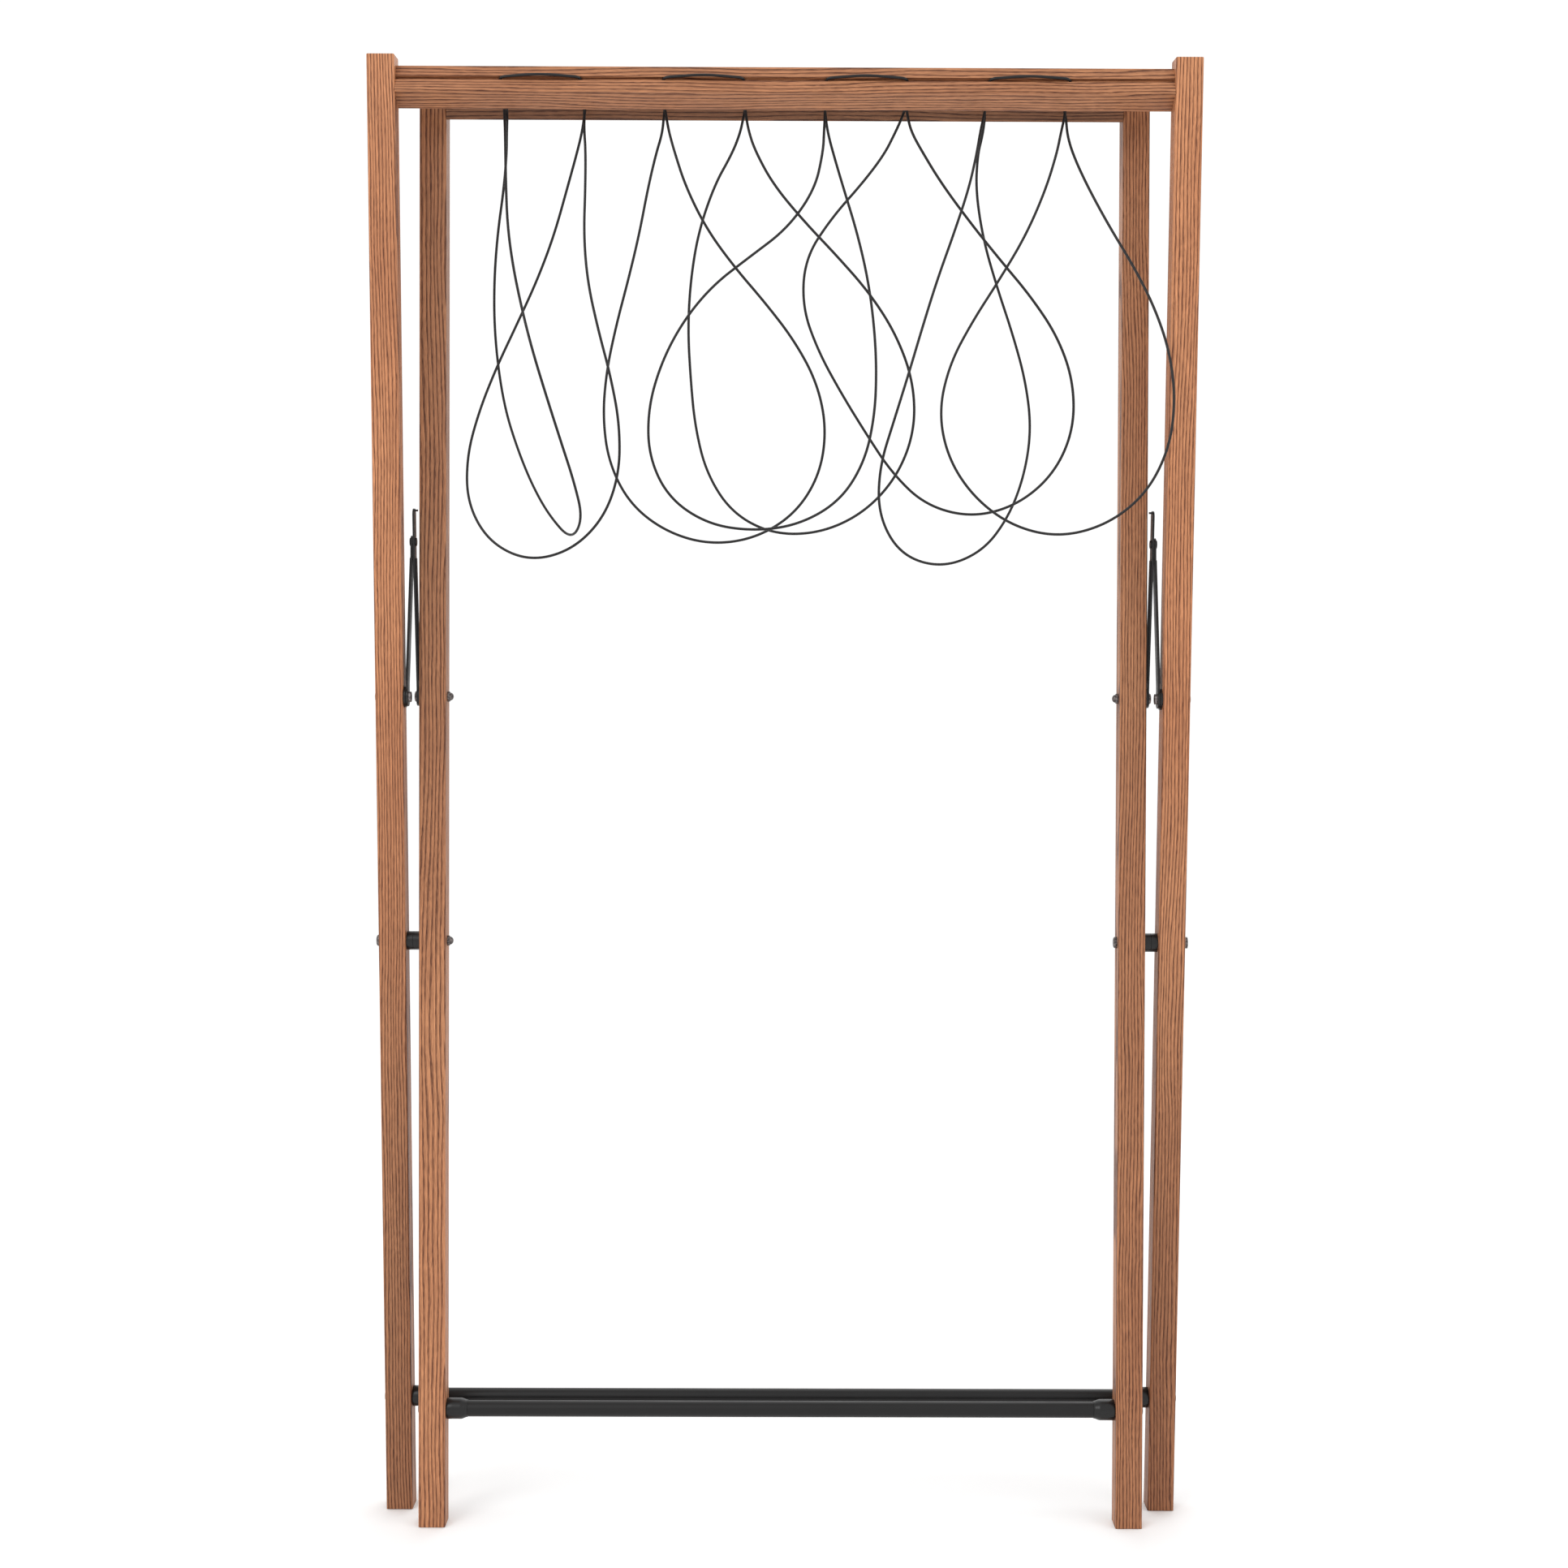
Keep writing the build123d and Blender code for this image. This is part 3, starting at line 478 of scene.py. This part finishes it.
def cord_piece(name, rings, closed=False):
    """A closed skin over rings of points, with a map of the run along the cord and the turn round it.
    An open cord's ends are shut by flat caps."""
    walls = wrapped_faces(len(rings), RING_SIDES, closed)[:, ::-1].tolist()
    last = (len(rings) - 1) * RING_SIDES
    caps = [] if closed else [list(range(RING_SIDES)), list(range(last, last + RING_SIDES))[::-1]]
    piece = new_piece(name, rings, walls + caps, cord_black)
    mesh = piece.data
    mesh.polygons.foreach_set("use_smooth", np.arange(len(mesh.polygons)) < len(walls))

    centres = rings.mean(axis=1)
    steps = np.linalg.norm(np.roll(centres, -1, axis=0) - centres, axis=1)
    run = np.r_[0, np.cumsum(steps)] / CORD
    row, column = np.divmod(np.arange(len(walls)), RING_SIDES)
    along = np.stack([run[row], run[row], run[row + 1], run[row + 1]], axis=-1)
    around = np.stack([column, column + 1, column + 1, column], axis=-1) / RING_SIDES
    wall_uv = np.stack([along, around], axis=-1)[:, ::-1].reshape(-1, 2)
    cap_uv = np.zeros((len(caps) * RING_SIDES, 2))
    uv = mesh.uv_layers.new(name="along_cord")
    uv.data.foreach_set("uv", np.concatenate([wall_uv, cap_uv]).ravel())
    return piece


cord_black = cord_coating()

# The routes, each from the front rail's back down round the loop and up to the rear rail's front. They
# repeat the CAD lines' routes, but for line 1's last five points, which bring its two strands to cross.
LINE_ROUTES = {
    1: [(-0.309, -0.008, 1.585), (-0.309, -0.005, 1.573), (-0.308, -0.008, 1.556), (-0.307, -0.014, 1.533),
        (-0.305, -0.028, 1.494), (-0.301, -0.049, 1.446), (-0.293, -0.072, 1.400), (-0.282, -0.093, 1.354),
        (-0.269, -0.108, 1.306), (-0.254, -0.109, 1.257), (-0.240, -0.093, 1.210), (-0.228, -0.065, 1.168),
        (-0.221, -0.031, 1.129), (-0.237, 0.003, 1.107), (-0.265, 0.034, 1.137), (-0.287, 0.064, 1.173),
        (-0.306, 0.089, 1.215), (-0.322, 0.106, 1.261), (-0.331, 0.110, 1.312), (-0.334, 0.100, 1.362),
        (-0.331, 0.079, 1.410), (-0.324, 0.054, 1.455), (-0.314, 0.030, 1.500), (-0.309, 0.015, 1.535),
        (-0.308, 0.008, 1.556), (-0.307, 0.005, 1.573), (-0.308, 0.008, 1.585)],
    2: [(-0.221, -0.008, 1.585), (-0.221, -0.005, 1.573), (-0.221, -0.008, 1.556), (-0.219, -0.013, 1.533),
        (-0.219, -0.018, 1.491), (-0.220, -0.028, 1.438), (-0.215, -0.038, 1.386), (-0.203, -0.047, 1.334),
        (-0.189, -0.053, 1.283), (-0.179, -0.053, 1.230), (-0.180, -0.046, 1.176), (-0.199, -0.033, 1.128),
        (-0.237, -0.017, 1.094), (-0.286, 0.001, 1.084), (-0.331, 0.018, 1.106), (-0.357, 0.034, 1.150),
        (-0.359, 0.046, 1.203), (-0.346, 0.052, 1.254), (-0.326, 0.053, 1.304), (-0.302, 0.048, 1.352),
        (-0.278, 0.039, 1.400), (-0.258, 0.029, 1.448), (-0.242, 0.019, 1.499), (-0.231, 0.013, 1.535),
        (-0.225, 0.008, 1.556), (-0.222, 0.005, 1.573), (-0.221, 0.008, 1.585)],
    3: [(-0.133, -0.008, 1.585), (-0.131, -0.005, 1.573), (-0.128, -0.008, 1.556), (-0.122, -0.012, 1.534),
        (-0.109, -0.014, 1.494), (-0.086, -0.016, 1.448), (-0.055, -0.018, 1.406), (-0.021, -0.020, 1.367),
        (0.011, -0.021, 1.326), (0.036, -0.020, 1.281), (0.047, -0.018, 1.231), (0.040, -0.014, 1.180),
        (0.013, -0.009, 1.137), (-0.031, -0.003, 1.110), (-0.082, 0.003, 1.103), (-0.131, 0.009, 1.117),
        (-0.172, 0.014, 1.148), (-0.196, 0.018, 1.194), (-0.203, 0.020, 1.245), (-0.199, 0.021, 1.296),
        (-0.188, 0.020, 1.347), (-0.174, 0.017, 1.398), (-0.162, 0.016, 1.447), (-0.152, 0.014, 1.498),
        (-0.143, 0.012, 1.535), (-0.136, 0.008, 1.556), (-0.134, 0.005, 1.573), (-0.133, 0.008, 1.585)],
    4: [(-0.044, -0.008, 1.585), (-0.043, -0.005, 1.573), (-0.040, -0.008, 1.556), (-0.033, -0.013, 1.534),
        (-0.013, -0.015, 1.497), (0.021, -0.020, 1.456), (0.058, -0.025, 1.417), (0.094, -0.029, 1.376),
        (0.123, -0.031, 1.331), (0.142, -0.031, 1.280), (0.144, -0.027, 1.227), (0.125, -0.020, 1.177),
        (0.089, -0.011, 1.138), (0.041, -0.001, 1.116), (-0.012, 0.009, 1.115), (-0.058, 0.017, 1.139),
        (-0.087, 0.024, 1.184), (-0.100, 0.028, 1.237), (-0.105, 0.029, 1.290), (-0.108, 0.027, 1.344),
        (-0.105, 0.024, 1.398), (-0.096, 0.019, 1.451), (-0.078, 0.015, 1.502), (-0.059, 0.013, 1.535),
        (-0.050, 0.008, 1.556), (-0.046, 0.005, 1.573), (-0.044, 0.008, 1.585)],
    5: [(0.044, -0.008, 1.585), (0.044, -0.005, 1.573), (0.043, -0.008, 1.556), (0.042, -0.012, 1.533),
        (0.033, -0.011, 1.492), (0.003, -0.009, 1.450), (-0.039, -0.006, 1.419), (-0.080, -0.004, 1.388),
        (-0.113, -0.003, 1.348), (-0.137, -0.003, 1.302), (-0.151, -0.004, 1.252), (-0.150, -0.007, 1.200),
        (-0.128, -0.011, 1.154), (-0.085, -0.016, 1.125), (-0.034, -0.020, 1.117), (0.017, -0.023, 1.124),
        (0.062, -0.025, 1.150), (0.089, -0.025, 1.193), (0.100, -0.022, 1.244), (0.102, -0.017, 1.296),
        (0.099, -0.011, 1.347), (0.092, -0.004, 1.398), (0.080, 0.002, 1.449), (0.065, 0.008, 1.498),
        (0.054, 0.011, 1.535), (0.048, 0.008, 1.556), (0.045, 0.005, 1.573), (0.044, 0.008, 1.585)],
    6: [(0.133, -0.008, 1.585), (0.135, -0.005, 1.573), (0.139, -0.008, 1.556), (0.150, -0.012, 1.535),
        (0.172, -0.014, 1.499), (0.204, -0.016, 1.456), (0.237, -0.019, 1.415), (0.271, -0.021, 1.375),
        (0.301, -0.022, 1.331), (0.319, -0.021, 1.282), (0.320, -0.018, 1.229), (0.299, -0.013, 1.181),
        (0.259, -0.007, 1.147), (0.209, -0.001, 1.134), (0.158, 0.006, 1.148), (0.121, 0.012, 1.184),
        (0.092, 0.017, 1.228), (0.064, 0.019, 1.273), (0.038, 0.021, 1.320), (0.020, 0.020, 1.369),
        (0.023, 0.018, 1.422), (0.052, 0.016, 1.466), (0.087, 0.014, 1.505), (0.110, 0.012, 1.535),
        (0.121, 0.008, 1.556), (0.129, 0.005, 1.573), (0.133, 0.008, 1.585)],
    7: [(0.221, -0.008, 1.585), (0.219, -0.005, 1.573), (0.215, -0.008, 1.556), (0.211, -0.013, 1.532),
        (0.202, -0.019, 1.492), (0.185, -0.030, 1.441), (0.167, -0.043, 1.391), (0.151, -0.054, 1.340),
        (0.136, -0.060, 1.289), (0.120, -0.060, 1.237), (0.104, -0.052, 1.185), (0.104, -0.037, 1.133),
        (0.130, -0.018, 1.091), (0.177, 0.003, 1.078), (0.224, 0.023, 1.097), (0.255, 0.041, 1.137),
        (0.274, 0.054, 1.186), (0.282, 0.062, 1.239), (0.275, 0.063, 1.293), (0.259, 0.056, 1.345),
        (0.240, 0.045, 1.395), (0.223, 0.032, 1.445), (0.213, 0.020, 1.497), (0.214, 0.013, 1.535),
        (0.219, 0.008, 1.556), (0.221, 0.005, 1.573), (0.221, 0.008, 1.585)],
    8: [(0.309, -0.008, 1.585), (0.308, -0.005, 1.573), (0.304, -0.008, 1.556), (0.299, -0.012, 1.532),
        (0.287, -0.010, 1.492), (0.266, -0.006, 1.443), (0.238, -0.001, 1.396), (0.209, 0.002, 1.351),
        (0.184, 0.003, 1.304), (0.172, -0.001, 1.251), (0.182, -0.009, 1.199), (0.210, -0.020, 1.155),
        (0.251, -0.033, 1.123), (0.301, -0.047, 1.110), (0.352, -0.059, 1.123), (0.393, -0.068, 1.156),
        (0.417, -0.070, 1.204), (0.424, -0.066, 1.257), (0.419, -0.056, 1.310), (0.404, -0.043, 1.360),
        (0.383, -0.027, 1.407), (0.358, -0.011, 1.453), (0.335, 0.003, 1.500), (0.320, 0.010, 1.535),
        (0.313, 0.008, 1.556), (0.311, 0.005, 1.573), (0.309, 0.008, 1.585)],
}

# Each line is made as two lengths that meet at the loop's lowest point. They share the ring where they meet,
# and stop just clear of the rails.
RAIL = 0.033
MOUTH = RAIL / 2 + 0.0003
for number in range(1, LINES + 1):
    mouths = [rail_point(way, hole_x(number), -MOUTH, 0) for way in (OUTER, INNER)]
    whole = smooth_line([mouths[0], *LINE_ROUTES[number], mouths[1]])
    whole_rings = cord_rings(whole)
    lowest = int(np.argmin(whole[:, 2]))
    front = cord_piece(f"line_{number}_front_half", whole_rings[: lowest + 1])
    rear = cord_piece(f"line_{number}_rear_half", whole_rings[lowest:])
    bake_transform(front)
    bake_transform(rear)
    for half, path in ((front, whole[: lowest + 1]), (rear, whole[lowest:][::-1])):
        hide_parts(f"line_{number}")

# The turns: between two holes the cord comes out of a rail, bows along the groove and goes back in, held
# by the pull of the lines. The route is symmetrical about its crest.
FINE_STEP = 0.0008
TURN_HALF = [(0, -RAIL, 0), (0, -0.0132, 0), (0, 0.0018, 0), (0.015, 0.0033, 0.0004)]
TURN_CREST = (LINE_PITCH / 2, 0.0048, 0.0018)


def turn(way, line, name, body):
    """The cord from one hole to the next: a route of (x from the hole, out of the face, up along it)."""
    other_half = [(LINE_PITCH - x, out, up) for x, out, up in reversed(TURN_HALF)]
    shape = [*TURN_HALF, TURN_CREST, *other_half]
    route = [rail_point(way, hole_x(line) + x, RAIL / 2 + out, up) for x, out, up in shape]
    path = smooth_line(route, FINE_STEP)
    bow = cord_piece(f"{name}_cord", cord_rings(path))
    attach(bow, body)
    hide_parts(name)


for line in range(1, LINES, 2):
    turn(OUTER, line, f"front_turn_{line}_{line + 1}", "outer_frame")
for line in range(2, LINES, 2):
    turn(INNER, line, f"rear_turn_{line}_{line + 1}", "inner_frame")

# The cord's two ends: each comes through the rear rail to an overhand knot that bears on the groove,
# with a short tail past it.
END_OUT = (-RAIL / 2, 0.005, 0.020, 0.030)
KNOT_OUT = 0.0206
KNOT_UNIT = 0.00098
KNOT_POINTS = 180


def knot(name, centre, outward):
    """An overhand knot pulled tight: the curve (sin t + 2 sin 2t, cos t - 2 cos 2t, -1.3 sin 3t) about
    the cord's own line, which passes through its middle."""
    turns = np.linspace(0, 2 * math.pi, KNOT_POINTS, endpoint=False)
    ahead = outward / np.linalg.norm(outward)
    side = np.array((1.0, 0.0, 0.0))
    other = np.cross(ahead, side)
    loop = (np.sin(turns) + 2 * np.sin(2 * turns))[:, None] * side
    loop = loop + (np.cos(turns) - 2 * np.cos(2 * turns))[:, None] * other
    loop = loop - 1.3 * np.sin(3 * turns)[:, None] * ahead
    line = np.array(centre) + KNOT_UNIT * loop
    return cord_piece(name, cord_rings(line, closed=True), closed=True)


for side, line in (("left", 1), ("right", LINES)):
    route = [rail_point(INNER, hole_x(line), out, 0) for out in END_OUT]
    path = smooth_line(route, FINE_STEP)
    end = cord_piece(f"cord_end_{side}", cord_rings(path))
    knot_centre = rail_point(INNER, hole_x(line), KNOT_OUT, 0)
    lump = knot(f"cord_knot_{side}", knot_centre, np.subtract(route[-1], route[0]))
    for piece in (end, lump):
        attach(piece, "inner_frame")
        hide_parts("line_ends")

# The floor: a wide sheet of matt white paint that runs on past the view, half a millimetre below the
# feet so that their sawn ends don't flicker against it.
FLOOR_HALF = 30.0
FLOOR_HEIGHT = -0.0005
floor_mesh = bpy.data.meshes.new("studio_floor")
corners = [(-FLOOR_HALF, -FLOOR_HALF, FLOOR_HEIGHT), (FLOOR_HALF, -FLOOR_HALF, FLOOR_HEIGHT)]
corners += [(FLOOR_HALF, FLOOR_HALF, FLOOR_HEIGHT), (-FLOOR_HALF, FLOOR_HALF, FLOOR_HEIGHT)]
floor_mesh.from_pydata(corners, [], [(0, 1, 2, 3)])
floor = bpy.data.objects.new("studio_floor", floor_mesh)
bpy.context.scene.collection.objects.link(floor)
floor_paint, floor_shader, add_node = new_material("pale_studio_floor")
floor_clouds = object_noise(add_node, per_metre=3.0, detail=3.0)
floor_tone = ramp(add_node, floor_clouds, [(0.3, 0.955), (0.7, 0.965)])
floor_paint.node_tree.links.new(floor_tone, floor_shader.inputs["Base Color"])
floor_shader.inputs["Roughness"].default_value = 0.85
floor_shader.inputs["Specular IOR Level"].default_value = 0.1
floor_mesh.materials.append(floor_paint)

# The studio light: a white room with soft light from all round, a large lamp high on the left in front,
# a weaker one on the right and one behind.
ROOM_LIGHT = 1.06
LIT_PLACE = Vector((0, 0, 0.8))
room = bpy.data.worlds.new("white_room")
room.use_nodes = True
room.node_tree.nodes["Background"].inputs["Color"].default_value = (1, 1, 1, 1)
room.node_tree.nodes["Background"].inputs["Strength"].default_value = ROOM_LIGHT
bpy.context.scene.world = room


def soft_lamp(name, place, width, energy):
    """A square area lamp that faces the rack."""
    lamp = bpy.data.lights.new(name, "AREA")
    lamp.shape = "SQUARE"
    lamp.size = width
    lamp.energy = energy
    holder = bpy.data.objects.new(name, lamp)
    holder.location = place
    holder.rotation_mode = "QUATERNION"
    holder.rotation_quaternion = (LIT_PLACE - Vector(place)).to_track_quat("-Z", "Y")
    bpy.context.scene.collection.objects.link(holder)


soft_lamp("key_lamp", (-2.2, -3.0, 3.4), width=1.8, energy=42)
soft_lamp("fill_lamp", (3.0, -2.0, 2.0), width=2.0, energy=12)
soft_lamp("back_lamp", (0.5, 3.2, 3.2), width=2.4, energy=16)

# The camera: straight in front, a little above the rack's mid height, looking slightly down. Its roll
# is small and tips the picture to one side.
CAMERA_PLACE = (-0.0070, -2.5764, 0.9840)
CAMERA_YAW = math.radians(0.187)
CAMERA_PITCH = math.radians(-3.293)
CAMERA_ROLL = math.radians(0.196)
CAMERA_LENS = 52.798
CAMERA_SENSOR = 36.0
level_ahead = Vector((math.sin(CAMERA_YAW), math.cos(CAMERA_YAW), 0))
ahead = level_ahead * math.cos(CAMERA_PITCH) + Vector((0, 0, math.sin(CAMERA_PITCH)))
level_right = Vector((math.cos(CAMERA_YAW), -math.sin(CAMERA_YAW), 0))
level_up = level_right.cross(ahead)
right = level_right * math.cos(CAMERA_ROLL) + level_up * math.sin(CAMERA_ROLL)
up = level_up * math.cos(CAMERA_ROLL) - level_right * math.sin(CAMERA_ROLL)
lens = bpy.data.cameras.new("camera")
lens.lens = CAMERA_LENS
lens.sensor_width = CAMERA_SENSOR
camera = bpy.data.objects.new("camera", lens)
camera.matrix_world = Matrix.Translation(CAMERA_PLACE) @ Matrix((right, up, -ahead)).transposed().to_4x4()
bpy.context.scene.collection.objects.link(camera)
bpy.context.scene.camera = camera
bpy.context.scene.view_settings.view_transform = "Standard"
